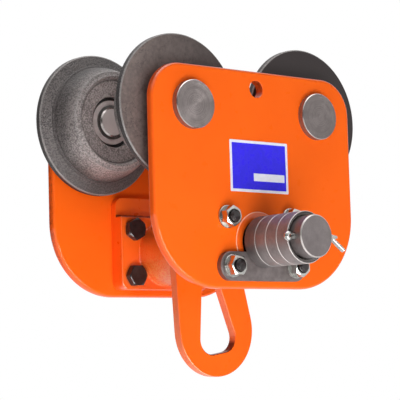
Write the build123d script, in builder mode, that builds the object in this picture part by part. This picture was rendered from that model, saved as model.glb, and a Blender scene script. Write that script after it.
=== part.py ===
"""Plain push trolley that rolls on the lower flange of an I-beam and carries a hoist from its hanger eye.

X runs along the beam, Y across it and Z up. The origin lies midway between the four wheels, at the
height of the flange that they roll on, and the front side is at -Y. All sizes are in millimetres.
"""

import os
from math import atan2, copysign, cos, degrees, radians, sin, sqrt, tan

from build123d import *

os.makedirs("parts", exist_ok=True)

# Side plates, with heights measured from the axis of the suspension shaft
plate_width = 302
plate_above_shaft = 199
plate_below_shaft = 53
plate_thickness = 12
plate_gap = 182
top_corner_radius = 42
bottom_corner_radius = 88
plate_edge_radius = 4
tie_hole_diameter = 20
tie_hole_height = 178
tie_hole_offset = 2.5
tie_hole_chamfer = 0.4

# Axles and the running height of the wheels
axle_spacing = 190
axle_height = 152
running_radius = 65
head_diameter = 55
head_proud = 8
head_chamfer = 0.8
shank_diameter = 45
axle_end_depth = 47
axle_end_chamfer = 1.6

# Wheels, with depths measured inwards from the plate's inner face
wheel_gap = 8.5
wheel_width = 48.5
flange_radius = 84.6
rim_width = 9
rim_chamfer = 1.5
tread_root_depth = 24
tread_root_radius = 69
tread_root_blend = 2.4
tread_root_round = 3.4
tread_nose_depth = 53.5
tread_nose_radius = 59.4
tread_nose_blend = 5.5
tread_nose_round = 6.6
tread_crown = 1.2
dish_radius = 51.5
dish_depth = 5.5
dish_slope = 1.8
hub_lip_radius = 30.5
hub_lip_depth = 48.5

# Sealed ball bearing, 35 x 72 x 23
bearing_bore = 35
bearing_outside = 72
bearing_width = 23
bearing_depth = 17
bearing_chamfer = 0.8
inner_ring_radius = 23.3
outer_ring_radius = 30.7
ball_radius = 5.5
ball_circle_radius = 27
ball_count = 9
race_clearance = 0.1
seal_thickness = 1.4
seal_inset = 0.6
seal_gap = 0.2

# Retaining rings and the washer at the end of each axle
axle_washer_outside = 53
axle_washer_thickness = 3
axle_circlip_thickness = 1.9
axle_groove_diameter = 33
axle_circlip_outside = 41
hub_circlip_thickness = 2.5
hub_groove_diameter = 75
hub_circlip_inside = 65.5
circlip_play = 0.1
circlip_gap = 6
lug_radius = 3.2
lug_hole_radius = 1.1

# Shaft brackets bolted inside the plates
bracket_width = 133
bracket_below = 45
block_above = 43.5
block_thickness = 20
lip_above = 67
lip_thickness = 9.5
bracket_corner_radius = 10
bracket_edge_radius = 1.5
boss_diameter = 79
boss_fillet = 1.2
boss_chamfer = 1
spigot_diameter = 71
spigot_proud = 0.4
spigot_edge_radius = 1.2
spigot_bore_chamfer = 2

# Bracket bolts, M14, with the angles that their heads and nuts ended up at when they were tightened
bolt_spacing_x = 96
bolt_spacing_z = 56
bolt_turns = [3, 17, 28, 8]
bolt_diameter = 14
thread_core_diameter = 12.2
bolt_hole_diameter = 15
hexagon_face_share = 0.95
hexagon_bevel_angle = 30
bolt_head_flats = 24
bolt_head_height = 9
bolt_end_proud = 3
bolt_end_chamfer = 0.6
nut_flats = 21
nut_height = 11
nut_bore_chamfer = 1.9
bolt_washer_outside = 26
bolt_washer_thickness = 2.5
bolt_washer_chamfer = 0.4

# Suspension shaft, keeper plate, spacer rings and split pin
shaft_diameter = 48
shaft_end_chamfer = 1.3
shaft_head_diameter = 62
shaft_head_height = 13
shaft_head_play = 0.3
shaft_flat_depth = 4.3
shaft_flat_play = 2
keeper_thickness = 7
keeper_end_radius = 16.6
keeper_notch_radius = 24.5
keeper_chamfer = 0.6
spacer_count = 4
spacer_length = 18
spacer_outside = 59
spacer_bore = 50
spacer_outer_chamfer = 0.7
spacer_inner_chamfer = 2.4
shaft_beyond_spacers = 16
pin_hole_diameter = 8.2
pin_hole_play = 0.2
pin_wire_radius = 3.5
pin_leg_gap = 0.3
pin_eye_x = -32
pin_eye_radius = 2
pin_neck_radius = 4
pin_bend_x = 32
pin_bend_radius = 4.5
pin_long_leg = 21
pin_long_bend = 36
pin_short_leg = 7
pin_short_bend = 10

# Hanger, drawn hanging straight down on a plane that is swung to where it rests
hanger_thickness = 12
hanger_top_radius = 47
hanger_bottom_radius = 56
hanger_bottom_drop = 97
hanger_eye_top_radius = 15.5
hanger_eye_top_drop = 54.5
hanger_eye_corner_radius = 18
hanger_eye_corner_spacing = 18
hanger_eye_corner_drop = 107.5
hanger_edge_radius = 1.2
hanger_side_play = 1.2
hanger_swing = 8.5

# Fits, as gaps on the radius
running_clearance = 0.06
seat_clearance = 0.02

axle_z = running_radius
shaft_z = running_radius - axle_height
shaft_radius = shaft_diameter / 2
inner_face = plate_gap / 2
outer_face = inner_face + plate_thickness
block_face = inner_face - block_thickness
boss_end = hanger_thickness / 2 + hanger_side_play
head_seat = outer_face + spigot_proud + shaft_head_play
spacer_start = outer_face + keeper_thickness
spacer_end = spacer_start + spacer_count * spacer_length
shaft_end = spacer_end + shaft_beyond_spacers
pin_depth = spacer_end + pin_hole_diameter / 2 + pin_hole_play
bearing_end = bearing_depth + bearing_width
washer_end = bearing_end + axle_washer_thickness

FRONT, REAR = -1, 1
sides = {"front": FRONT, "rear": REAR}
axle_places = {"left": -axle_spacing / 2, "right": axle_spacing / 2}
bolt_places = [(x * bolt_spacing_x / 2, z * bolt_spacing_z / 2) for z in (1, -1) for x in (-1, 1)]
turn_at = dict(zip(bolt_places, bolt_turns))


def side_plane(side, depth, x=0, z=0):
    """Plane square to the shaft, at a depth out from the middle and facing out, with its Y upwards."""
    return Plane(origin=(x, side * depth, shaft_z + z), x_dir=(-side, 0, 0), z_dir=(0, side, 0))


def axle_plane(side, x, depth):
    """Plane square to an axle, at a depth in from the plate's inner face, with its Y upwards."""
    origin = (x, side * (inner_face - depth), axle_z)
    return Plane(origin=origin, x_dir=(side, 0, 0), z_dir=(0, -side, 0))


def section_through(plane):
    """Plane through another one's normal: its X is the radius and its Y runs along that normal."""
    return Plane(origin=plane.origin, x_dir=plane.x_dir, z_dir=plane.x_dir.cross(plane.z_dir))


def axis_of(plane):
    """Axis along a plane's normal."""
    return Axis(plane.origin, plane.z_dir)


def rims(builder, radius):
    """Circular edges of one radius on the piece being built."""
    round_edges = builder.edges().filter_by(GeomType.CIRCLE)
    return round_edges.filter_by(lambda edge: abs(edge.radius - radius) < seat_clearance / 2)


def outermost(shapes, side):
    """The one of some faces or edges that lies farthest out on a side."""
    return shapes.sort_by(Axis.Y)[-1 if side == REAR else 0]


def save(builder, name):
    """Label a finished piece and write it."""
    builder.part.label = name
    export_step(builder.part, f"parts/{name}.step")


# Side plates: rolled plate with rounded edges, bored for the axles, the bracket's spigot and its bolts
def make_side_plate(side):
    with BuildPart() as plate:
        with BuildSketch(side_plane(side, inner_face)):
            with Locations((0, (plate_above_shaft - plate_below_shaft) / 2)):
                Rectangle(plate_width, plate_above_shaft + plate_below_shaft)
            fillet(vertices().group_by(Axis.Y)[-1], top_corner_radius)
            fillet(vertices().group_by(Axis.Y)[0], bottom_corner_radius)
        extrude(amount=plate_thickness)
        fillet(plate.faces().filter_by(Axis.Y).edges(), plate_edge_radius)
        with BuildSketch(side_plane(side, inner_face)):
            with Locations((-axle_spacing / 2, axle_height), (axle_spacing / 2, axle_height)):
                Circle(shank_diameter / 2 + seat_clearance)
            Circle(spigot_diameter / 2 + seat_clearance)
            with Locations(*bolt_places):
                Circle(bolt_hole_diameter / 2)
            with Locations((tie_hole_offset, tie_hole_height)):
                Circle(tie_hole_diameter / 2)
        extrude(amount=plate_thickness, mode=Mode.SUBTRACT)
        chamfer(rims(plate, tie_hole_diameter / 2), tie_hole_chamfer)
    return plate


for side_name, side in sides.items():
    save(make_side_plate(side), f"{side_name}_side_plate")


# Shaft brackets: a stepped block on the plate, a long boss for the shaft and a spigot through the plate
def make_bracket(side):
    with BuildPart() as bracket:
        with BuildSketch(side_plane(side, inner_face - lip_thickness)):
            with Locations((0, (lip_above - bracket_below) / 2)):
                RectangleRounded(bracket_width, lip_above + bracket_below, bracket_corner_radius)
        extrude(amount=lip_thickness)
        with BuildSketch(side_plane(side, block_face)):
            with Locations((0, (block_above - bracket_below) / 2)):
                Rectangle(bracket_width, block_above + bracket_below)
            fillet(vertices().group_by(Axis.Y)[0], bracket_corner_radius)
        extrude(amount=block_thickness)
        fillet(outermost(bracket.faces().filter_by(Axis.Y), -side).edges(), bracket_edge_radius)
        with BuildSketch(side_plane(side, boss_end)):
            Circle(boss_diameter / 2)
        extrude(amount=block_face - boss_end)
        chamfer(outermost(rims(bracket, boss_diameter / 2), -side), boss_chamfer)
        fillet(outermost(rims(bracket, boss_diameter / 2), side), boss_fillet)
        with BuildSketch(side_plane(side, inner_face)):
            Circle(spigot_diameter / 2)
        extrude(amount=plate_thickness + spigot_proud)
        fillet(outermost(rims(bracket, spigot_diameter / 2), side), spigot_edge_radius)
        with BuildSketch(side_plane(side, boss_end)):
            Circle(shaft_radius + running_clearance)
            with Locations(*bolt_places):
                Circle(bolt_hole_diameter / 2)
        extrude(amount=outer_face + spigot_proud - boss_end, mode=Mode.SUBTRACT)
        chamfer(outermost(rims(bracket, shaft_radius + running_clearance), side), spigot_bore_chamfer)
        with BuildSketch(side_plane(side, outer_face)):
            with Locations((0, keeper_end_radius - bolt_spacing_z / 2 + seat_clearance)):
                Rectangle(spigot_diameter, spigot_diameter, align=(Align.CENTER, Align.MAX))
        extrude(amount=spigot_proud, mode=Mode.SUBTRACT)
    return bracket


for side_name, side in sides.items():
    save(make_bracket(side), f"{side_name}_shaft_bracket")


# Bracket bolts, washers and nuts: four of each on both sides, with the bolt heads inside
def nut_seat(side, z):
    """Depth of the face under a washer: the keeper plate lies under the lower pair in front."""
    return outer_face + (keeper_thickness if side == FRONT and z < 0 else 0)


def make_hexagon(plane, flats, height, turn):
    """Hexagon on a plane, turned from standing on a corner, with its corners bevelled at both ends."""
    corner = flats / sqrt(3)
    face = flats / 2 * hexagon_face_share
    bevel = (corner - face) * tan(radians(hexagon_bevel_angle))
    with BuildPart() as hexagon:
        with BuildSketch(plane):
            RegularPolygon(corner, 6, rotation=90 + turn)
        extrude(amount=height)
        with BuildSketch(section_through(plane)):
            with BuildLine():
                Polyline(
                    (0, 0),
                    (face, 0),
                    (corner, bevel),
                    (corner, height - bevel),
                    (face, height),
                    (0, height),
                    close=True,
                )
            make_face()
        revolve(axis=axis_of(plane), mode=Mode.INTERSECT)
    return hexagon


def make_bolt(side, x, z):
    head_plane = side_plane(side, block_face - bolt_head_height, x, z)
    hexagon = make_hexagon(head_plane, bolt_head_flats, bolt_head_height, turn_at[x, z])
    thread_start = nut_seat(side, z) + bolt_washer_thickness
    bolt_end = thread_start + nut_height + bolt_end_proud
    with BuildPart() as bolt:
        add(hexagon.part)
        for diameter, end in ((bolt_diameter, thread_start), (thread_core_diameter, bolt_end)):
            with BuildSketch(side_plane(side, block_face, x, z)):
                Circle(diameter / 2)
            extrude(amount=end - block_face)
        chamfer(outermost(rims(bolt, thread_core_diameter / 2), side), bolt_end_chamfer)
    return bolt


def make_nut(side, x, z):
    seat = side_plane(side, nut_seat(side, z) + bolt_washer_thickness, x, z)
    hexagon = make_hexagon(seat, nut_flats, nut_height, turn_at[x, z])
    with BuildPart() as nut:
        add(hexagon.part)
        with BuildSketch(seat):
            Circle(thread_core_diameter / 2 + seat_clearance)
        extrude(amount=nut_height, mode=Mode.SUBTRACT)
        chamfer(rims(nut, thread_core_diameter / 2 + seat_clearance), nut_bore_chamfer)
    return nut


def make_washer(side, x, z):
    with BuildPart() as washer:
        with BuildSketch(side_plane(side, nut_seat(side, z), x, z)):
            Circle(bolt_washer_outside / 2)
            Circle(bolt_hole_diameter / 2, mode=Mode.SUBTRACT)
        extrude(amount=bolt_washer_thickness)
        chamfer(outermost(rims(washer, bolt_washer_outside / 2), side), bolt_washer_chamfer)
    return washer


for side_name, side in sides.items():
    for group_name, make_piece in {"bolts": make_bolt, "nuts": make_nut, "washers": make_washer}.items():
        pieces = [make_piece(side, x, z).part for x, z in bolt_places]
        with BuildPart() as group:
            add(pieces)
        save(group, f"{side_name}_bracket_{group_name}")


# Suspension shaft: a head behind the rear spigot, and a keeper flat and a cross hole at its front end
with BuildPart() as suspension_shaft:
    with BuildSketch(side_plane(REAR, head_seat)):
        Circle(shaft_head_diameter / 2)
    extrude(amount=shaft_head_height)
    chamfer(outermost(rims(suspension_shaft, shaft_head_diameter / 2), REAR), shaft_end_chamfer)
    with BuildSketch(side_plane(FRONT, -head_seat)):
        Circle(shaft_radius)
    extrude(amount=head_seat + shaft_end)
    chamfer(outermost(rims(suspension_shaft, shaft_radius), FRONT), shaft_end_chamfer)
    with BuildSketch(side_plane(FRONT, outer_face - shaft_flat_play)):
        with Locations((0, shaft_flat_depth - shaft_radius)):
            Rectangle(shaft_diameter, shaft_radius, align=(Align.CENTER, Align.MAX))
    extrude(amount=spacer_end - outer_face + shaft_flat_play, mode=Mode.SUBTRACT)
    with BuildSketch(Plane(origin=(0, -pin_depth, shaft_z), x_dir=(0, 1, 0), z_dir=(1, 0, 0))):
        Circle(pin_hole_diameter / 2)
    extrude(amount=shaft_radius, both=True, mode=Mode.SUBTRACT)
save(suspension_shaft, "suspension_shaft")


# Keeper plate: held by the two lower bolts, its notch takes the shaft's flat so the shaft can't turn
with BuildPart() as keeper_plate:
    with BuildSketch(side_plane(FRONT, outer_face)):
        with Locations((0, -bolt_spacing_z / 2)):
            SlotCenterToCenter(bolt_spacing_x, 2 * keeper_end_radius)
    extrude(amount=keeper_thickness)
    chamfer(keeper_plate.faces().filter_by(Axis.Y).sort_by(Axis.Y)[0].edges(), keeper_chamfer)
    with BuildSketch(side_plane(FRONT, outer_face)):
        Circle(keeper_notch_radius)
        with Locations((0, shaft_flat_depth - shaft_radius - running_clearance)):
            Rectangle(spacer_outside, spacer_outside, align=(Align.CENTER, Align.MAX), mode=Mode.SUBTRACT)
        with Locations(*bolt_places[2:]):
            Circle(bolt_hole_diameter / 2)
    extrude(amount=keeper_thickness, mode=Mode.SUBTRACT)
save(keeper_plate, "keeper_plate")


# Spacer rings: moved between the plates and the hanger, they set the trolley to a wider beam
def make_spacer(depth):
    with BuildPart() as spacer:
        with BuildSketch(section_through(side_plane(FRONT, depth))):
            with Locations(((spacer_outside + spacer_bore) / 4, spacer_length / 2)):
                Rectangle((spacer_outside - spacer_bore) / 2, spacer_length)
            chamfer(vertices().group_by(Axis.X)[-1], spacer_outer_chamfer)
            chamfer(vertices().group_by(Axis.X)[0], spacer_inner_chamfer)
        revolve(axis=axis_of(side_plane(FRONT, depth)))
    return spacer


for number in range(spacer_count):
    save(make_spacer(spacer_start + number * spacer_length), f"spacer_ring_{number + 1}")


# Split pin: one half-round wire folded flat to flat, laid from its upper bend in straights and bends.
# Each move is a radius and a run: 0 and a length, or a bend and its angle, to the flat side if below 0.
neck_rise = pin_neck_radius + pin_leg_gap / 2
neck_run = sqrt((pin_eye_radius + pin_neck_radius) ** 2 - neck_rise**2)
neck_turn = degrees(atan2(neck_run, neck_rise))
pin_shank = pin_bend_x - pin_eye_x - neck_run
neck = (pin_neck_radius, neck_turn)
fold = [(0, pin_shank), neck, (-pin_eye_radius, 180 + 2 * neck_turn), neck, (0, pin_shank)]
long_leg = [(pin_bend_radius, pin_long_bend), (0, pin_long_leg)]
short_leg = [(-pin_bend_radius, pin_short_bend), (0, pin_short_leg)]
bend_place = (pin_bend_x, -pin_depth, shaft_z + pin_leg_gap / 2)
with BuildPart() as split_pin:
    for heading, moves in ((-1, fold + long_leg), (1, short_leg)):
        here = Plane(origin=bend_place, x_dir=(0, 0, 1), z_dir=(heading, 0, 0))
        for radius, run in moves:
            with BuildSketch(here):
                Circle(pin_wire_radius)
                flat_half = (Align.MAX, Align.CENTER)
                Rectangle(pin_wire_radius, 2 * pin_wire_radius, align=flat_half, mode=Mode.SUBTRACT)
            if radius == 0:
                extrude(amount=run)
                step = Pos(0, 0, run)
            else:
                inner_side = copysign(1, radius)
                bend_axis = Axis(here.origin + here.x_dir * radius, here.y_dir * inner_side)
                revolve(axis=bend_axis, revolution_arc=run)
                step = Pos(radius, 0, 0) * Rot(0, inner_side * run, 0) * Pos(-radius, 0, 0)
            here = Plane(here.location * step)
save(split_pin, "split_pin")


# Hanger: flat forged link on the shaft between the two bosses, with a pear-shaped eye for the hoist's hook
swing_x = (cos(radians(hanger_swing)), 0, sin(radians(hanger_swing)))
hanger_plane = Plane(origin=(0, hanger_thickness / 2, shaft_z), x_dir=swing_x, z_dir=(0, -1, 0))
with BuildPart() as hanger:
    with BuildSketch(hanger_plane):
        Circle(hanger_top_radius)
        with Locations((0, -hanger_bottom_drop)):
            Circle(hanger_bottom_radius)
        make_hull()
    extrude(amount=hanger_thickness)
    with BuildSketch(hanger_plane):
        with Locations((0, -hanger_eye_top_drop)):
            Circle(hanger_eye_top_radius)
        corner_x = hanger_eye_corner_spacing / 2
        with Locations((-corner_x, -hanger_eye_corner_drop), (corner_x, -hanger_eye_corner_drop)):
            Circle(hanger_eye_corner_radius)
        make_hull()
    extrude(amount=hanger_thickness, mode=Mode.SUBTRACT)
    fillet(hanger.faces().filter_by(Axis.Y).edges(), hanger_edge_radius)
    with BuildSketch(hanger_plane):
        Circle(shaft_radius + running_clearance)
    extrude(amount=hanger_thickness, mode=Mode.SUBTRACT)
save(hanger, "hanger")


# Axles: a faced head outside the plate, a shank through it and a stepped journal for the bearing
def make_axle(side, x):
    base = axle_plane(side, x, 0)
    journal = bearing_bore / 2
    with BuildPart() as axle:
        with BuildSketch(section_through(base)):
            with Locations((0, -plate_thickness)):
                Rectangle(head_diameter / 2, head_proud, align=(Align.MIN, Align.MAX))
                Rectangle(shank_diameter / 2, plate_thickness + bearing_depth, align=(Align.MIN, Align.MIN))
            with Locations((0, bearing_depth)):
                Rectangle(journal, axle_end_depth - bearing_depth, align=(Align.MIN, Align.MIN))
            with Locations((axle_groove_diameter / 2, washer_end)):
                groove_width = axle_circlip_thickness + circlip_play
                Rectangle(journal, groove_width, align=(Align.MIN, Align.MIN), mode=Mode.SUBTRACT)
        revolve(axis=axis_of(base))
        chamfer(outermost(rims(axle, head_diameter / 2), side), head_chamfer)
        chamfer(outermost(rims(axle, journal), -side), axle_end_chamfer)
    return axle


# Wheels: cast iron, with a thick flange, a tapered and slightly crowned tread and a dished inner face
def make_wheel(side, x):
    base = axle_plane(side, x, 0)
    seat = bearing_outside / 2 + seat_clearance
    wheel_end = wheel_gap + wheel_width
    rim_end = wheel_gap + rim_width
    nose_start = (tread_nose_radius - tread_nose_blend, wheel_end)
    nose_end = (tread_nose_radius, tread_nose_depth)
    crown_radius = (tread_root_radius + tread_nose_radius) / 2 + tread_crown
    crown = (crown_radius, (tread_root_depth + tread_nose_depth) / 2)
    root_start = (tread_root_radius, tread_root_depth + tread_root_blend / 2)
    root_end = (tread_root_radius + tread_root_blend, tread_root_depth - tread_root_blend / 2)
    with BuildPart() as wheel:
        with BuildSketch(section_through(base)):
            with BuildLine():
                Polyline(
                    root_end,
                    (flange_radius - rim_chamfer, rim_end),
                    (flange_radius, rim_end - rim_chamfer),
                    (flange_radius, wheel_gap + rim_chamfer),
                    (flange_radius - rim_chamfer, wheel_gap),
                    (seat + bearing_chamfer, wheel_gap),
                    (seat, wheel_gap + bearing_chamfer),
                    (seat, bearing_end),
                    (hub_lip_radius, bearing_end),
                    (hub_lip_radius, hub_lip_depth - bearing_chamfer),
                    (hub_lip_radius + bearing_chamfer, hub_lip_depth),
                    (dish_radius - dish_slope, wheel_end - dish_depth),
                    (dish_radius, wheel_end - dish_slope),
                    (dish_radius + dish_slope, wheel_end),
                    nose_start,
                )
                RadiusArc(nose_start, nose_end, -tread_nose_round)
                ThreePointArc(nose_end, crown, root_start)
                RadiusArc(root_start, root_end, tread_root_round)
            make_face()
        revolve(axis=axis_of(base))
        with BuildSketch(axle_plane(side, x, bearing_depth)):
            Circle(hub_groove_diameter / 2)
        extrude(amount=-hub_circlip_thickness - circlip_play, mode=Mode.SUBTRACT)
    return wheel


# Bearings: ground rings with a ball groove, a row of balls and a seal let into the outer ring on each side
def make_ring(side, x, inside, outside):
    base = axle_plane(side, x, bearing_depth)
    with BuildPart() as ring:
        with BuildSketch(section_through(base)):
            with Locations((inside, 0)):
                Rectangle(outside - inside, bearing_width, align=(Align.MIN, Align.MIN))
            with Locations((ball_circle_radius, bearing_width / 2)):
                Circle(ball_radius + race_clearance, mode=Mode.SUBTRACT)
        revolve(axis=axis_of(base))
        chamfer(rims(ring, outside if inside > ball_circle_radius else inside), bearing_chamfer)
    return ring


def make_balls(side, x):
    with BuildPart() as balls:
        with Locations(axle_plane(side, x, bearing_depth + bearing_width / 2)):
            with PolarLocations(ball_circle_radius, ball_count):
                Sphere(ball_radius)
    return balls


def make_seals(side, x):
    with BuildPart() as seals:
        for depth in (bearing_depth + seal_inset, bearing_end - seal_inset - seal_thickness):
            with BuildSketch(axle_plane(side, x, depth)):
                Circle(outer_ring_radius)
                Circle(inner_ring_radius + seal_gap, mode=Mode.SUBTRACT)
            extrude(amount=seal_thickness)
    return seals


# Retaining rings: one holds the bearing in the hub, the other holds the washer on the axle's end
def make_circlip(plane, inside, outside, lug_circle, thickness):
    lug_y = circlip_gap / 2 + lug_radius
    lug_x = sqrt(lug_circle**2 - lug_y**2)
    with BuildPart() as circlip:
        with BuildSketch(plane):
            Circle(outside)
            Circle(inside, mode=Mode.SUBTRACT)
            with Locations((lug_x, -lug_y), (lug_x, lug_y)):
                Circle(lug_radius)
            Rectangle(2 * outside, circlip_gap, align=(Align.MIN, Align.CENTER), mode=Mode.SUBTRACT)
            with Locations((lug_x, -lug_y), (lug_x, lug_y)):
                Circle(lug_hole_radius, mode=Mode.SUBTRACT)
        extrude(amount=thickness)
    return circlip


def make_hub_circlip(side, x):
    plane = axle_plane(side, x, bearing_depth - hub_circlip_thickness)
    inside = hub_circlip_inside / 2
    outside = hub_groove_diameter / 2 - circlip_play
    return make_circlip(plane, inside, outside, inside, hub_circlip_thickness)


def make_axle_circlip(side, x):
    inside = axle_groove_diameter / 2 + circlip_play / 2
    outside = axle_circlip_outside / 2
    return make_circlip(axle_plane(side, x, washer_end), inside, outside, outside, axle_circlip_thickness)


def make_axle_washer(side, x):
    with BuildPart() as washer:
        with BuildSketch(axle_plane(side, x, bearing_end)):
            Circle(axle_washer_outside / 2)
            Circle(bearing_bore / 2 + seat_clearance, mode=Mode.SUBTRACT)
        extrude(amount=axle_washer_thickness)
        chamfer(outermost(rims(washer, axle_washer_outside / 2), -side), bolt_washer_chamfer)
    return washer


# The same set of wheel, bearing and axle pieces stands at each of the four places
for side_name, side in sides.items():
    for place_name, x in axle_places.items():
        place = f"{side_name}_{place_name}"
        save(make_axle(side, x), f"axle_{place}")
        save(make_wheel(side, x), f"wheel_{place}")
        save(make_ring(side, x, bearing_bore / 2, inner_ring_radius), f"bearing_inner_ring_{place}")
        save(make_ring(side, x, outer_ring_radius, bearing_outside / 2), f"bearing_outer_ring_{place}")
        save(make_balls(side, x), f"bearing_balls_{place}")
        save(make_seals(side, x), f"bearing_seals_{place}")
        save(make_hub_circlip(side, x), f"hub_circlip_{place}")
        save(make_axle_washer(side, x), f"axle_washer_{place}")
        save(make_axle_circlip(side, x), f"axle_circlip_{place}")
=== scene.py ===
from math import cos, radians, sin

import bmesh
import bpy
from mathutils import Matrix, Vector


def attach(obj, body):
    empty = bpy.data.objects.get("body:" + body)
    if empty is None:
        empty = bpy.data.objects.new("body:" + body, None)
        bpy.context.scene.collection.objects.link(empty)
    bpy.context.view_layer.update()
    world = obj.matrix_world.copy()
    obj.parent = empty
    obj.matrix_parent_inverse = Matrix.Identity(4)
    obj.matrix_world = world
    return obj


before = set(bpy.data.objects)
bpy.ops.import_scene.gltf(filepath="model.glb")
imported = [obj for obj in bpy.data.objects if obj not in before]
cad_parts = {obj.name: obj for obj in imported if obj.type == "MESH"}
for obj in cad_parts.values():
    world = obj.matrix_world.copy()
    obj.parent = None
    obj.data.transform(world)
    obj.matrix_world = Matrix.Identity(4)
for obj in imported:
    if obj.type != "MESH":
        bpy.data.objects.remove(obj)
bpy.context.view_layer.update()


# Side plates
# Two 12 mm steel plates, flame cut and bored for the axles and brackets, with their edges ground round.
# They are sprayed in a glossy orange enamel, which runs thin and chips on the edges; edges and cut sides
# are also painted deeper as shade.
class Shade:
    """A shader socket that can stand in Python arithmetic, which adds the Math nodes that it needs."""

    def __init__(self, tree, socket=None):
        self.tree = tree
        self.socket = socket

    def node(self, kind, settings=None, inputs=None, output=0):
        """A new node of a kind, with its settings made first and then its sockets' values or links."""
        made = self.tree.nodes.new("ShaderNode" + kind)
        for name, value in (settings or {}).items():
            setattr(made, name, value)
        for name, value in (inputs or {}).items():
            if isinstance(value, Shade):
                self.tree.links.new(value.socket, made.inputs[name])
            else:
                made.inputs[name].default_value = value
        return Shade(self.tree, made.outputs[output])

    def math(self, operation, left, right):
        """A Math node of two values, of which either may be a plain number."""
        return self.node("Math", {"operation": operation}, {0: left, 1: right})

    def __add__(self, other):
        return self.math("ADD", self, other)

    def __sub__(self, other):
        return self.math("SUBTRACT", self, other)

    def __rsub__(self, other):
        return self.math("SUBTRACT", other, self)

    def __mul__(self, other):
        return self.math("MULTIPLY", self, other)

    def __pow__(self, other):
        return self.math("POWER", self, other)

    def __abs__(self):
        return self.math("ABSOLUTE", self, 0)

    __radd__ = __add__
    __rmul__ = __mul__

    def rise(self, low, high):
        """0 below low and 1 above high, with a smooth step between them."""
        ends = {"Value": self, "From Min": low, "From Max": high}
        return self.node("MapRange", {"interpolation_type": "SMOOTHSTEP"}, ends)

    def fall(self, low, high):
        """1 below low and 0 above high, with a smooth step between them."""
        return 1 - self.rise(low, high)

    def band(self, low, full, fade, gone):
        """1 from full to fade, and 0 below low and above gone, with smooth steps between them."""
        return self.rise(low, full) * self.fall(fade, gone)

    def axis(self, name):
        """The X, Y or Z of a vector."""
        return self.node("SeparateXYZ", None, {0: self}, name)

    def facing(self, name):
        """How far the surface here faces along X, Y or Z, from -1 to 1."""
        return self.node("TexCoord", output="Normal").axis(name)

    def noise(self, scale, detail, roughness=0.5):
        """Noise from 0 to 1 at this place, with features of about 1 / scale metres."""
        inputs = {"Vector": self, "Scale": scale, "Detail": detail, "Roughness": roughness}
        return self.node("TexNoise", None, inputs, "Fac")

    def lines(self, scale, detail):
        """Noise from 0 to 1 along this value, as lines about 1 / scale metres wide."""
        inputs = {"W": self, "Scale": scale, "Detail": detail}
        return self.node("TexNoise", {"noise_dimensions": "1D"}, inputs, "Fac")

    def blend(self, first, second):
        """A colour that goes from the first to the second as this value goes from 0 to 1."""
        return self.node("Mix", {"data_type": "RGBA"}, {0: self, 6: first, 7: second}, 2)

    def bump(self, depth):
        """Normals for this height, where 1 stands depth metres proud."""
        return self.node("Bump", None, {"Height": self, "Distance": depth})

    def feed(self, shader, name):
        """Links this socket to one of a shader's."""
        self.tree.links.new(self.socket, shader.inputs[name])


def new_finish(name, **constants):
    """A new material with constants on its shader's sockets, that shader, and the place in metres."""
    finish = bpy.data.materials.new(name)
    finish.use_nodes = True
    shader = finish.node_tree.nodes["Principled BSDF"]
    for socket, value in constants.items():
        shader.inputs[socket.replace("_", " ")].default_value = value
    place = Shade(finish.node_tree).node("TexCoord", output="Object")
    return finish, shader, place


def dress(finish, *names):
    """Puts a finish on CAD nodes, in place of the plain one that they came with."""
    for name in names:
        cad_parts[name].material_slots[0].material = finish


ENAMEL = (0.98, 0.137, 0.0088, 1)
ENAMEL_DEEP = (0.95, 0.126, 0.0077, 1)
ENAMEL_THIN_SHADED = (0.96, 0.115, 0.0060, 1)
ENAMEL_CUT_SHADED = (0.98, 0.108, 0.0050, 1)
ENAMEL_HIGHLIGHT = (1.0, 0.46, 0.27, 1)
ENAMEL_SPARKLE = (1.0, 0.34, 0.090, 1)
CHIPPED = (0.07, 0.022, 0.012, 1)
GREASE_AND_SHADE = (0.008, 0.006, 0.006, 1)


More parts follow.
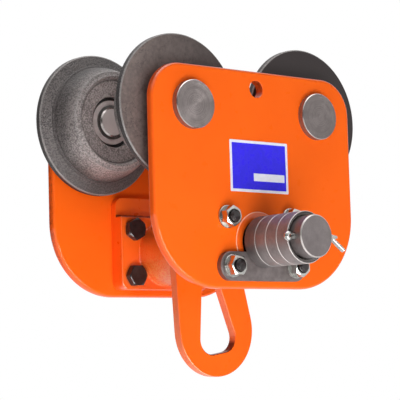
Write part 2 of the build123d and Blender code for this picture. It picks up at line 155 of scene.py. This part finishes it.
def enamel_finish(name, wall=ENAMEL_CUT_SHADED, specular=0.06, sand=None, grease_and_shade=None, painted_highlight=None):
    """Orange enamel, glossy on edges and walls and painted deeper there as shade, with masks for cast
    skin with painted sparkle, for greasy dirt and painted shade, and for a painted highlight.
    """
    finish, shader, place = new_finish(
        name, Specular_IOR_Level=specular, Coat_Roughness=0.06, Coat_IOR=1.6
    )
    slant = 1 - abs(place.facing("Y"))
    walls = slant.rise(0.8, 0.98)
    edges = slant.rise(0.05, 0.25) * (1 - walls)
    chips = place.noise(210, 4, 0.65).rise(0.72, 0.74) * (edges + 0.5 * walls)
    coat = place.noise(14, 3).rise(0.3, 0.8).blend(ENAMEL, ENAMEL_DEEP)
    # The rounded edges are painted deeper: partly thinner paint, partly painted shade.
    coat = (0.75 * edges).blend(coat, ENAMEL_THIN_SHADED)
    # The cut sides are painted deeper in patches: partly thinner paint, partly painted shade.
    coat = (walls * place.noise(90, 3).rise(0.1, 0.5)).blend(coat, wall)
    coat = chips.blend(coat, CHIPPED)
    gloss = 0.03 + 0.9 * edges + 0.4 * walls
    surface = 0.12 * place.noise(380, 2) + 0.8 * place.noise(24, 2) - 0.4 * chips
    if sand:
        skin = sand(place)
        grains = place.noise(430, 3, 0.7)
        # Bright flecks on the cast skin, most on its underside, are painted sparkle highlights.
        underside = 0.25 + 0.75 * place.facing("Z").fall(-0.7, 0.0)
        coat = (0.85 * skin * underside * grains.rise(0.42, 0.60)).blend(coat, ENAMEL_SPARKLE)
        gloss = gloss * (1 - skin)
        surface = surface + 3.0 * skin * grains
    if painted_highlight:
        # Pale enamel where this mask is given is a painted highlight.
        coat = painted_highlight(place).blend(coat, ENAMEL_HIGHLIGHT)
    if grease_and_shade:
        # Near black where this mask is given: painted shade in some places, greasy dirt in others.
        darkening = grease_and_shade(place)
        coat = darkening.blend(coat, GREASE_AND_SHADE)
        gloss = gloss * (1 - darkening)
    coat.feed(shader, "Base Color")
    gloss.feed(shader, "Coat Weight")
    (0.24 + 0.10 * place.noise(70, 4) + 0.35 * chips).feed(shader, "Roughness")
    surface.bump(0.0002).feed(shader, "Normal")
    return finish


TIE_HOLE_HEIGHT = 0.091


def plate_dirt_and_hole_shade(place):
    """Old dirt on the left end of the rear plate, and painted shade on the tie holes' walls, darker
    towards their tops.
    """
    dirt = place.noise(160, 4, 0.6).rise(0.25, 0.75)
    rear = place.axis("Y").rise(0.0, 0.01) * place.axis("Z").rise(-0.11, -0.06)
    left_end = rear * place.facing("X").fall(-0.95, -0.75)
    above = place.axis("Z") - TIE_HOLE_HEIGHT
    near_hole = abs(place.axis("X")).fall(0.0130, 0.0140) * abs(above).fall(0.0105, 0.0115)
    # The tie holes' walls are painted darker as shade, most towards the top.
    hole_wall = near_hole * abs(place.facing("Y")).fall(0.2, 0.6) * above.rise(-0.012, 0.006)
    return 0.4 * left_end * dirt + 0.8 * hole_wall * (0.6 + 0.4 * dirt)


plate_enamel = enamel_finish("plate_enamel", grease_and_shade=plate_dirt_and_hole_shade)
dress(plate_enamel, "front_side_plate", "rear_side_plate")


# Wheel axles
# Turned steel pins pressed into the plates, each with a large faced head outside.
# The face keeps the fine rings of its last cut; a washer and a ring hold the bearing on the inner end.
HEAD_DIAMETER = 0.055
STEEL = (0.300, 0.262, 0.254, 1)
STEEL_STAINED = (0.165, 0.141, 0.136, 1)
STEEL_RUBBED = (0.52, 0.48, 0.46, 1)
STEEL_DULL = (0.545, 0.485, 0.470, 1)


def distance(first, second):
    """How far two offsets at right angles reach together."""
    return (first * first + second * second) ** 0.5


def from_axis(place, diameter):
    """Distance from a round piece's own axis along Y, where its largest diameter is known."""
    middle = place.node("TexCoord", output="Generated")
    across = (middle.axis("X") - 0.5) * diameter
    up = (middle.axis("Z") - 0.5) * diameter
    return distance(across, up)


def turned_finish(
    name, diameter, steel, stained, roughness, groove, metal=1.0, ringed=0.0, grease_and_shade=None, dull=None
):
    """Turned steel with fine rings and rubbed edges, and with masks for dull parts and for near black,
    which is painted shade in some places and greasy dirt in others.
    """
    finish, shader, place = new_finish(name, Metallic=metal)
    along = from_axis(place, diameter) + place.axis("Y")
    cuts = along.lines(3200, 2)
    bands = along.lines(1100, 3)
    rubbed = abs(place.facing("Y")).band(0.3, 0.5, 0.85, 0.95)
    stains = place.noise(60, 5, 0.8)
    colour = ((1 - ringed) * stains + ringed * bands).rise(0.3, 0.7).blend(steel, stained)
    colour = rubbed.blend(colour, STEEL_RUBBED)
    if dull:
        matt = dull(place) * (1 - rubbed)
        colour = matt.blend(colour, STEEL_DULL)
        (metal - 0.8 * metal * matt).feed(shader, "Metallic")
    if grease_and_shade:
        # Near black where this mask is given is painted shade in some places.
        colour = grease_and_shade(place).blend(colour, GREASE_AND_SHADE)
    colour.feed(shader, "Base Color")
    (roughness + 0.10 * stains - 0.12 * rubbed).feed(shader, "Roughness")
    ((1 - rubbed) * cuts + 0.1 * place.noise(700, 3)).bump(groove).feed(shader, "Normal")
    return finish


def head_mask(place):
    """The axle's head, which stands outside the plate."""
    return abs(place.axis("Y")).rise(0.100, 0.102)


def dull_parts(place):
    """The axle's end inside the wheel, which is only sawn and faced, and the side of its head."""
    sawn_end = abs(place.axis("Y")).fall(0.058, 0.060)
    head_side = head_mask(place) * abs(place.facing("Y")).fall(0.1, 0.3)
    return sawn_end + 0.22 * head_side


def right_head_darkening(place):
    """The faces of the right heads, made a little darker."""
    right = place.axis("X").rise(0.0, 0.01)
    return 0.16 * right * head_mask(place) * abs(place.facing("Y")).rise(0.9, 0.95)


wheel_places = ["front_left", "front_right", "rear_left", "rear_right"]
faced_steel = turned_finish(
    "faced_steel",
    HEAD_DIAMETER,
    STEEL,
    STEEL_STAINED,
    roughness=0.28,
    groove=0.00025,
    ringed=0.5,
    grease_and_shade=right_head_darkening,
    dull=dull_parts,
)
for wheel_place in wheel_places:
    dress(faced_steel, f"axle_{wheel_place}")


# Wheels
# Grey iron castings with a thick flange and a tapered tread, left with the sandy skin of the mould.
# Only the back of the flange is turned; handling has scratched it and polished the rim's edges.
WHEEL_DIAMETER = 0.1692
AXLE_HEIGHT = 0.065
IRON = (0.150, 0.130, 0.126, 1)
IRON_DARK = (0.048, 0.041, 0.040, 1)
IRON_HUB_LIT = (0.47, 0.410, 0.396, 1)
IRON_HUB_LIT_DARK = (0.187, 0.161, 0.155, 1)
IRON_TURNED = (0.176, 0.139, 0.128, 1)
IRON_STAINED = (0.113, 0.089, 0.082, 1)
IRON_OIL_AND_SHADE = (0.025, 0.018, 0.018, 1)
IRON_RUBBED_AND_HIGHLIT = (0.40, 0.37, 0.36, 1)


def cast_wheel_finish():
    """Grey iron: a sandy skin with the web, nose and inner tread painted lighter as light, the flange's
    outer rim darker, painted shade low on the flange and in its corners, a painted highlight on the
    nose's shoulder, and turned flange backs painted darker as shade on the right wheels and upward.
    """
    finish, shader, place = new_finish("cast_iron_wheel", Specular_IOR_Level=0.5)
    radius = from_axis(place, WHEEL_DIAMETER)
    depth = abs(place.axis("Y"))
    facing = abs(place.facing("Y"))
    low_side = (AXLE_HEIGHT - place.axis("Z")).rise(0.0, 0.055)
    grain = place.noise(560, 2)
    stains = place.noise(38, 5, 0.6)
    speck = (0.75 * grain + 0.25 * stains).rise(0.38, 0.62)

    # The web, nose and inner tread are painted lighter as light, the tread furthest on its low side.
    web = radius.fall(0.0495, 0.0505)
    tread_lit = (0.7 + 0.3 * low_side) * depth.fall(0.0350, 0.0560 + 0.014 * low_side)
    hub_lit = web * (1 - 0.45 * low_side) + (1 - web) * tread_lit
    flange = depth.rise(0.0660, 0.0685)
    rim = radius.rise(0.0832, 0.0838) * facing.fall(0.3, 0.5)
    # Painted shade in the corner between flange and tread, and in the step round the web.
    root_shade = depth.rise(0.0625, 0.0660) * radius.fall(0.0700, 0.0725)
    corner_shade = radius.band(0.0478, 0.0490, 0.0499, 0.0508) * depth.fall(0.0410, 0.0420)
    shoulder = radius.rise(0.0566, 0.0580) * depth.fall(0.0380, 0.0400)
    skin = hub_lit.blend(speck.blend(IRON_DARK, IRON), speck.blend(IRON_HUB_LIT_DARK, IRON_HUB_LIT))
    # The flange is painted darker as shade on its low side.
    skin = (0.4 * flange * low_side).blend(skin, IRON_DARK)
    skin = (0.85 * rim + 0.6 * corner_shade + 0.5 * root_shade).blend(skin, IRON_OIL_AND_SHADE)
    # A painted highlight along the nose's shoulder, partly wear.
    skin = (shoulder * (0.25 + 0.5 * speck)).blend(skin, IRON_RUBBED_AND_HIGHLIT)

    turned = depth.rise(0.0822, 0.0824)
    scratches = abs(place.noise(26, 5, 0.6) - 0.5).fall(0.002, 0.010)
    mottle = 0.5 * stains + 0.5 * place.noise(260, 3, 0.6)
    # The turned backs are painted darker as shade on the right wheels and towards the top.
    flange_back_shade = (place.axis("X") + 0.8 * place.axis("Z")).rise(-0.10, 0.15)
    worn = mottle.rise(0.35, 0.65).blend(IRON_TURNED, IRON_STAINED)
    worn = (0.4 * scratches).blend(worn, IRON_OIL_AND_SHADE)
    worn = flange_back_shade.blend(worn, IRON_OIL_AND_SHADE)

    corner = radius.rise(0.0829, 0.0832) * facing.band(0.35, 0.55, 0.82, 0.9)
    rubbed = corner * (0.2 + 0.5 * stains)
    iron = turned.blend(skin, worn)
    rubbed.blend(iron, IRON_RUBBED_AND_HIGHLIT).feed(shader, "Base Color")
    (0.10 + 0.25 * turned + 0.5 * rubbed).feed(shader, "Metallic")
    (0.40 + 0.08 * turned - 0.15 * rubbed + 0.1 * stains).feed(shader, "Roughness")
    (grain * (1 - 0.85 * turned)).bump(0.0011).feed(shader, "Normal")
    return finish


cast_iron = cast_wheel_finish()
for wheel_place in wheel_places:
    dress(cast_iron, f"wheel_{wheel_place}")


# Wheel bearings, axle washers and retaining rings
# Sealed ball bearings pressed into the hubs, with ground rings and black rubber seals.
# Phosphated spring-steel rings snap into grooves to hold them, with a plain steel washer on each axle.
GROUND = (0.5, 0.5, 0.5, 1)
GROUND_STAINED = (0.38, 0.37, 0.36, 1)
RUBBER = (0.018, 0.018, 0.018, 1)
RUBBER_WORN = (0.03, 0.029, 0.028, 1)
PHOSPHATED = (0.16, 0.155, 0.15, 1)
PHOSPHATED_DARK = (0.10, 0.095, 0.09, 1)
WASHER = (0.60, 0.531, 0.516, 1)
WASHER_STAINED = (0.49, 0.431, 0.416, 1)


def plain_finish(name, colour, stained, roughness, grain_depth=0.00001, **constants):
    """A small piece's finish, stained between two colours and with a fine grain."""
    finish, shader, place = new_finish(name, **constants)
    stains = place.noise(130, 4, 0.6)
    stains.rise(0.3, 0.7).blend(colour, stained).feed(shader, "Base Color")
    (roughness + 0.12 * (stains - 0.5)).feed(shader, "Roughness")
    place.noise(1100, 2).bump(grain_depth).feed(shader, "Normal")
    return finish


ground_steel = plain_finish("ground_steel", GROUND, GROUND_STAINED, roughness=0.25, Metallic=1.0)
seal_rubber = plain_finish("seal_rubber", RUBBER, RUBBER_WORN, roughness=0.5)
spring_steel = plain_finish("spring_steel", PHOSPHATED, PHOSPHATED_DARK, roughness=0.4, Metallic=0.9)
washer_steel = plain_finish("washer_steel", WASHER, WASHER_STAINED, roughness=0.4, Metallic=0.2)
for wheel_place in wheel_places:
    for piece in ("bearing_inner_ring", "bearing_outer_ring", "bearing_balls"):
        dress(ground_steel, f"{piece}_{wheel_place}")
    dress(seal_rubber, f"bearing_seals_{wheel_place}")
    dress(spring_steel, f"hub_circlip_{wheel_place}", f"axle_circlip_{wheel_place}")
    dress(washer_steel, f"axle_washer_{wheel_place}")


# Shaft brackets
# Iron castings that carry the shaft, let into the plates by a spigot and bolted to their inner sides.
# They are sprayed with the plates, and the sand grain of the boss shows through the paint.
SHAFT_HEIGHT = -0.087
BOLT_ACROSS = 0.048
BOLT_UP = 0.028


def from_shaft(place):
    """Distance from the shaft's axis."""
    return distance(place.axis("X"), place.axis("Z") - SHAFT_HEIGHT)


def from_bolts(place):
    """Distance from the nearest of a bracket's four bolts."""
    across = abs(place.axis("X")) - BOLT_ACROSS
    up = abs(place.axis("Z") - SHAFT_HEIGHT) - BOLT_UP
    return distance(across, up)


def boss_mask(place):
    """The round boss inside the plate, which keeps its casting skin."""
    return abs(place.axis("Y")).fall(0.090, 0.091) * from_shaft(place).fall(0.0400, 0.0420)


def bracket_painted_shade(place):
    """Near black painted in the ends of the bore as shade, partly greasy, and painted shade along the
    step and round the bolt heads.
    """
    depth = abs(place.axis("Y"))
    patches = place.noise(120, 3).rise(0.25, 0.65)
    # The bore's ends, the step and a ring round each bolt head are painted dark as shade.
    bore_ends = depth.rise(0.1008, 0.1010) * from_shaft(place).fall(0.0258, 0.0266)
    step = depth.fall(0.0816, 0.0818) * place.axis("Z").band(-0.0450, -0.0436, -0.0412, -0.0402)
    heads = depth.fall(0.0720, 0.0725) * from_bolts(place).fall(0.0115, 0.0150)
    return bore_ends + 0.7 * step * (0.4 + 0.6 * patches) + 0.45 * heads * patches


def spigot_edge_highlight(place):
    """The rounded edge of the spigot, where it stands proud of the plate, painted pale as a highlight."""
    return abs(place.axis("Y")).rise(0.1023, 0.1025) * from_shaft(place).rise(0.0343, 0.0347)


bracket_enamel = enamel_finish(
    "bracket_enamel", specular=0.8, sand=boss_mask, grease_and_shade=bracket_painted_shade, painted_highlight=spigot_edge_highlight
)
dress(bracket_enamel, "front_shaft_bracket", "rear_shaft_bracket")


# Bracket bolts, washers and nuts
# Four blackened M14 hexagon bolts a side, with their heads inside the bracket.
# Zinc-plated washers and nuts, the nuts brighter, hold them outside the plate, where their threads show.
BLACKENED = (0.017, 0.013, 0.013, 1)
BLACKENED_WORN = (0.030, 0.022, 0.022, 1)
NUT_ZINC = (0.62, 0.62, 0.59, 1)
NUT_STAINED = (0.48, 0.48, 0.46, 1)
WASHER_ZINC = (0.50, 0.495, 0.475, 1)
WASHER_ZINC_STAINED = (0.34, 0.335, 0.32, 1)
NUT_FACE = 0.1165
NUT_FACE_ON_KEEPER = 0.1235


def plated_finish(name, zinc, stained, roughness):
    """Zinc plating, painted near black as shade in the mouths of the bores that the bolts go through."""
    finish, shader, place = new_finish(name, Metallic=1.0)
    # The bores' mouths are painted near black as shade.
    bores = from_bolts(place).fall(0.0067, 0.0075)
    stains = place.noise(130, 4, 0.6)
    plating = stains.rise(0.3, 0.7).blend(zinc, stained)
    bores.blend(plating, GREASE_AND_SHADE).feed(shader, "Base Color")
    (roughness + 0.08 * stains + 0.3 * bores).feed(shader, "Roughness")
    place.noise(1100, 2).bump(0.000006).feed(shader, "Normal")
    return finish


black_oxide = plain_finish(
    "black_oxide", BLACKENED, BLACKENED_WORN, roughness=0.14, Specular_IOR_Level=0.4
)
bright_zinc = plated_finish("bright_zinc", NUT_ZINC, NUT_STAINED, roughness=0.15)
dull_zinc = plated_finish("dull_zinc", WASHER_ZINC, WASHER_ZINC_STAINED, roughness=0.24)
for side in ("front", "rear"):
    dress(black_oxide, f"{side}_bracket_bolts")
    dress(bright_zinc, f"{side}_bracket_nuts")
    dress(dull_zinc, f"{side}_bracket_washers")


def join_loops(mesh, loops, smooth=False):
    """Faces from each loop of points to the next."""
    for first, second in zip(loops, loops[1:]):
        count = len(first)
        for here in range(count):
            there = (here + 1) % count
            face = mesh.faces.new((first[here], first[there], second[there], second[here]))
            face.smooth = smooth


def close_ends(mesh, loops):
    """A face across the first and the last loop."""
    mesh.faces.new(loops[0])
    mesh.faces.new(loops[-1])


def add_piece(name, mesh, finish):
    """A new object of a mesh, with its faces turned outward and its finish on."""
    bmesh.ops.recalc_face_normals(mesh, faces=mesh.faces)
    data = bpy.data.meshes.new(name)
    mesh.to_mesh(data)
    mesh.free()
    data.materials.append(finish)
    piece = bpy.data.objects.new(name, data)
    bpy.context.scene.collection.objects.link(piece)
    return piece


def screw_ends(name, places, body):
    """The bolts' rounded points, and the threads wound round them from just inside each nut."""
    pitch = 0.002
    core = 0.0061
    root = 0.0060
    crest = 0.0070
    thread_start = 0.0001
    turns = 1.65
    fade_turns = 0.15
    steps = 40
    length = int(turns * steps)
    point_start = 0.003
    point = ((0.0052, -0.0002), (0.0050, 0.0003), (0.0044, 0.0007), (0.0032, 0.0010), (0.0016, 0.00115))
    mesh = bmesh.new()
    for x, y, z, outward in places:
        ridges = []
        for step in range(length + 1):
            angle = radians(360 * step / steps)
            run = min(step, length - step) / steps
            height = crest if run > fade_turns else core + (crest - core) * run / fade_turns
            middle = y + outward * (pitch * step / steps + thread_start)
            profile = ((root, -0.45), (height, -0.08), (height, 0.08), (root, 0.45))
            painted_highlight = []
            for radius, pitches in profile:
                corner = (x + radius * cos(angle), middle + pitches * pitch, z + radius * sin(angle))
                painted_highlight.append(mesh.verts.new(corner))
            ridges.append(painted_highlight)
        join_loops(mesh, ridges)
        close_ends(mesh, ridges)
        circles = []
        for radius, depth in point:
            end = y + outward * (point_start + depth)
            circle = []
            for step in range(steps):
                angle = radians(360 * step / steps)
                circle.append(mesh.verts.new((x + radius * cos(angle), end, z + radius * sin(angle))))
            circles.append(circle)
        join_loops(mesh, circles, smooth=True)
        close_ends(mesh, circles)
    ends = add_piece(name, mesh, black_oxide)
    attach(ends, body)


front_ends = []
rear_ends = []
for x in (-BOLT_ACROSS, BOLT_ACROSS):
    front_ends.append((x, -NUT_FACE, SHAFT_HEIGHT + BOLT_UP, -1))
    front_ends.append((x, -NUT_FACE_ON_KEEPER, SHAFT_HEIGHT - BOLT_UP, -1))
    rear_ends.append((x, NUT_FACE, SHAFT_HEIGHT + BOLT_UP, 1))
    rear_ends.append((x, NUT_FACE, SHAFT_HEIGHT - BOLT_UP, 1))
screw_ends("front_bolt_ends", front_ends, "front_side")
screw_ends("rear_bolt_ends", rear_ends, "rear_side")


# Suspension shaft, spacer rings and keeper plate
# A bright turned shaft joins the two sides, and loose turned rings on it set their distance.
# A flat keeper under the lower nuts stops the shaft from turning; all have a brown film of oil.
RING_DIAMETER = 0.059
SHAFT_HEAD_DIAMETER = 0.062
OILED = (0.280, 0.252, 0.250, 1)
OILED_DARK = (0.206, 0.184, 0.182, 1)
SHAFT_STEEL = (0.225, 0.197, 0.195, 1)
SHAFT_STAINED = (0.17, 0.147, 0.146, 1)
KEEPER = (0.224, 0.190, 0.187, 1)
KEEPER_STAINED = (0.162, 0.137, 0.133, 1)


def ring_darkening_and_end_shade(place):
    """The rings made darker towards the plate, and their end faces near the shaft painted near black as
    shade.
    """
    end_face = abs(place.facing("Y")).rise(0.93, 0.98) * from_shaft(place).fall(0.0278, 0.0286)
    return 0.5 * place.axis("Y").rise(-0.145, -0.112) * (1 - end_face) + 0.93 * end_face


def shaft_root_shade(place):
    """The short length of shaft behind the first ring, painted near black as the shade in the gap there,
    partly greasy dirt.
    """
    return place.axis("Y").band(-0.1099, -0.1097, -0.100, -0.098)


ring_steel = turned_finish(
    "ring_steel",
    RING_DIAMETER,
    OILED,
    OILED_DARK,
    roughness=0.45,
    groove=0.00004,
    metal=0.5,
    grease_and_shade=ring_darkening_and_end_shade,
)
dress(ring_steel, *[f"spacer_ring_{number}" for number in range(1, 5)])
shaft_steel = turned_finish(
    "shaft_steel",
    SHAFT_HEAD_DIAMETER,
    SHAFT_STEEL,
    SHAFT_STAINED,
    roughness=0.38,
    groove=0.00004,
    metal=0.8,
    grease_and_shade=shaft_root_shade,
)
dress(shaft_steel, "suspension_shaft")
keeper_steel = plain_finish(
    "keeper_steel", KEEPER, KEEPER_STAINED, roughness=0.45, grain_depth=0.00003, Metallic=0.8
)
dress(keeper_steel, "keeper_plate")


# Split pin
# Half-round steel wire, zinc plated and folded on itself into an eye.
# Its legs go through the shaft outside the last ring, to hold the rings on, and spread on the far side.
PIN_ZINC = (0.54, 0.54, 0.52, 1)
PIN_STAINED = (0.38, 0.38, 0.36, 1)
pin_zinc = plain_finish(
    "pin_zinc", PIN_ZINC, PIN_STAINED, roughness=0.14, grain_depth=0.000006, Metallic=0.8
)
dress(pin_zinc, "split_pin")


# Hanger
# A flat link cut from thick plate, with a pear-shaped eye for the hoist's hook.
# It swings on the shaft between the two bosses and has the plates' enamel.
# The hanger's cut walls are a pale salmon: partly dust, partly a painted sheen.
ENAMEL_WALL_SHEEN = (0.98, 0.20, 0.075, 1)


def eye_seat_shade(place):
    """The lower inside of the eye, painted darker as shade on its upward faces."""
    upward = place.facing("Z").rise(0.10, 0.45)
    return 0.8 * upward * place.axis("Z").band(-0.222, -0.218, -0.186, -0.180)


def low_left_edge_highlight(place):
    """The edges that face down and to the left, painted pale as a highlight."""
    edge = abs(place.facing("Y")).band(0.35, 0.55, 0.88, 0.96)
    low_left = place.facing("Z").fall(-0.40, -0.15) * place.facing("X").fall(-0.30, -0.05)
    return 0.9 * edge * low_left * place.noise(45, 3).rise(0.10, 0.40)


hanger_enamel = enamel_finish("hanger_enamel", ENAMEL_WALL_SHEEN, grease_and_shade=eye_seat_shade, painted_highlight=low_left_edge_highlight)
dress(hanger_enamel, "hanger")


# Rating plate
# A thin plate stuck to the front side plate: a blue enamelled field in a raised pale border.
# A raised pale strip crosses its lower right part.
PLATE_FACE = -0.103
BLUE = (0.050, 0.034, 0.86, 1)
BLUE_DEEP = (0.039, 0.030, 0.74, 1)
PALE = (0.84, 0.84, 0.92, 1)
PALE_WORN = (0.74, 0.74, 0.84, 1)
FIELD_THICKNESS = 0.0005
BORDER_THICKNESS = 0.0007
STRIP_BACK = 0.0004
plate_middle = Vector((0.0029, 0, 0.0002))
strip_middle = plate_middle + Vector((0.0148, 0, -0.0122))


def outline(width, height, corner):
    """Points round a rectangle with rounded corners, seen from the front."""
    steps = 6
    points = []
    for turn, (sx, sz) in enumerate(((1, 1), (-1, 1), (-1, -1), (1, -1))):
        for step in range(steps + 1):
            angle = radians(90 * (turn + step / steps))
            x = sx * (width / 2 - corner) + corner * cos(angle)
            z = sz * (height / 2 - corner) + corner * sin(angle)
            points.append((x, z))
    return points


def pressed_panel(name, finish, middle, back, front, outer, inner=None):
    """A flat panel between two depths in front of the plate, with an opening where one is given."""
    mesh = bmesh.new()
    loops = []
    for points, depth in ((outer, back), (outer, front), (inner, front), (inner, back)):
        if points:
            loops.append([mesh.verts.new((x, PLATE_FACE - depth, z)) for x, z in points])
    if inner:
        join_loops(mesh, loops + loops[:1])
    else:
        join_loops(mesh, loops)
        close_ends(mesh, loops)
    bmesh.ops.translate(mesh, verts=mesh.verts, vec=middle)
    panel = add_piece(name, mesh, finish)
    soft_edge = panel.modifiers.new("soft_edge", "BEVEL")
    soft_edge.width = 0.00012
    soft_edge.segments = 2
    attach(panel, "front_side")


blue_field = plain_finish("blue_field", BLUE, BLUE_DEEP, roughness=0.28, Specular_IOR_Level=0.1)
pale_border = plain_finish(
    "pale_border", PALE, PALE_WORN, roughness=0.32, grain_depth=0.00002, Metallic=0.15
)
field_edge = outline(0.0865, 0.0575, 0.0010)
border_outer = outline(0.0885, 0.0595, 0.0012)
border_inner = outline(0.0821, 0.0531, 0.0004)
strip_edge = outline(0.0473, 0.0089, 0.0004)
pressed_panel("rating_field", blue_field, plate_middle, 0, FIELD_THICKNESS, field_edge)
pressed_panel("rating_border", pale_border, plate_middle, 0, BORDER_THICKNESS, border_outer, border_inner)
pressed_panel("rating_strip", pale_border, strip_middle, STRIP_BACK, BORDER_THICKNESS, strip_edge)


# Studio
# A pale floor well below the hanging trolley, which fades to white far off, in a white surround that is
# dark on the left and bright overhead. Wide lamps stand low in front, on the left and behind, with small
# ones below and above; the strip low in front only shows as a glint.
FLOOR_DEPTH = -1.5
FLOOR_SIZE = 60
FLOOR_GREY = (0.85, 0.85, 0.85, 1)
WHITE = (1, 1, 1, 1)
bpy.ops.mesh.primitive_plane_add(size=FLOOR_SIZE, location=(0, 0, FLOOR_DEPTH))
floor = bpy.context.object
floor.name = "floor"


def is_ray(shade, kind):
    """1 for rays of one kind, and 0 for all others."""
    return shade.node("LightPath", output=f"Is {kind} Ray")


floor_finish, floor_shader, floor_place = new_finish("pale_floor", Roughness=0.8, Base_Color=FLOOR_GREY)
mirrored = is_ray(floor_place, "Glossy") + is_ray(floor_place, "Transmission")
seen = is_ray(floor_place, "Camera") + mirrored
far = distance(floor_place.axis("X"), floor_place.axis("Y")).rise(2, 14)
white = floor_place.node("Emission", None, {"Color": WHITE, "Strength": 1.0})
lit = Shade(floor_finish.node_tree, floor_shader.outputs[0])
shown = floor_place.node("MixShader", None, {0: seen * (0.7 + 0.3 * far), 1: lit, 2: white})
shown.feed(floor_finish.node_tree.nodes["Material Output"], "Surface")
floor.data.materials.append(floor_finish)


def add_lamp(name, place, width, height, watts, roll=0, glint=False):
    """A rectangular lamp aimed at the trolley, which lights its surfaces or else only glints in them."""
    lamp = bpy.data.lights.new(name, "AREA")
    lamp.shape = "RECTANGLE"
    lamp.size = width
    lamp.size_y = height
    lamp.energy = watts
    holder = bpy.data.objects.new(name, lamp)
    bpy.context.scene.collection.objects.link(holder)
    holder.location = place
    aim = (-Vector(place)).to_track_quat("-Z", "Y").to_matrix() @ Matrix.Rotation(radians(roll), 3, "Z")
    holder.rotation_euler = aim.to_euler()
    holder.visible_camera = False
    holder.visible_diffuse = not glint
    holder.visible_glossy = glint


add_lamp("low_lamp", (-0.40, -1.62, -1.05), width=1.8, height=0.9, watts=33.5)
add_lamp("glint_strip", (-0.11, -1.68, -1.08), width=2.0, height=0.5, watts=44, roll=-48, glint=True)
add_lamp("left_lamp", (-1.43, -1.79, 0.12), width=1.6, height=1.6, watts=10.5)
add_lamp("under_lamp", (-0.85, -0.34, -1.43), width=0.6, height=0.6, watts=6.5)
add_lamp("top_lamp", (0.0, -0.30, 1.80), width=0.8, height=0.8, watts=6)
add_lamp("rear_lamp", (1.20, 1.75, 0.95), width=1.6, height=1.6, watts=58)

AMBIENT = 0.15
world = bpy.data.worlds.new("studio")
bpy.context.scene.world = world
world.use_nodes = True
background = world.node_tree.nodes["Background"]
background.inputs["Color"].default_value = WHITE
sky = Shade(world.node_tree).node("TexCoord", output="Generated")
left = sky.axis("X").fall(-0.35, 0.0)
upward = sky.axis("Z")
surround = 1 - 0.92 * left * upward.fall(0.3, 0.7) + 2 * upward.rise(0.80, 0.95)
plain_white = (1 - AMBIENT) * (is_ray(sky, "Camera") + is_ray(sky, "Transmission"))
level = AMBIENT + plain_white + is_ray(sky, "Glossy") * (surround - AMBIENT)
level.feed(background, "Strength")

camera_data = bpy.data.cameras.new("camera")
camera_data.sensor_width = 36
camera_data.lens = 147.78
camera = bpy.data.objects.new("camera", camera_data)
bpy.context.scene.collection.objects.link(camera)
camera_place = Vector((-1.24826, -1.50366, -0.22865))
turn = radians(39.668)
climb = radians(5.862)
roll = radians(-1.634)
look = Vector((sin(turn) * cos(climb), cos(turn) * cos(climb), sin(climb)))
aim = look.to_track_quat("-Z", "Y").to_matrix().to_4x4()
camera.matrix_world = Matrix.Translation(camera_place) @ aim @ Matrix.Rotation(roll, 4, "Z")
bpy.context.scene.camera = camera
bpy.context.scene.view_settings.view_transform = "Standard"
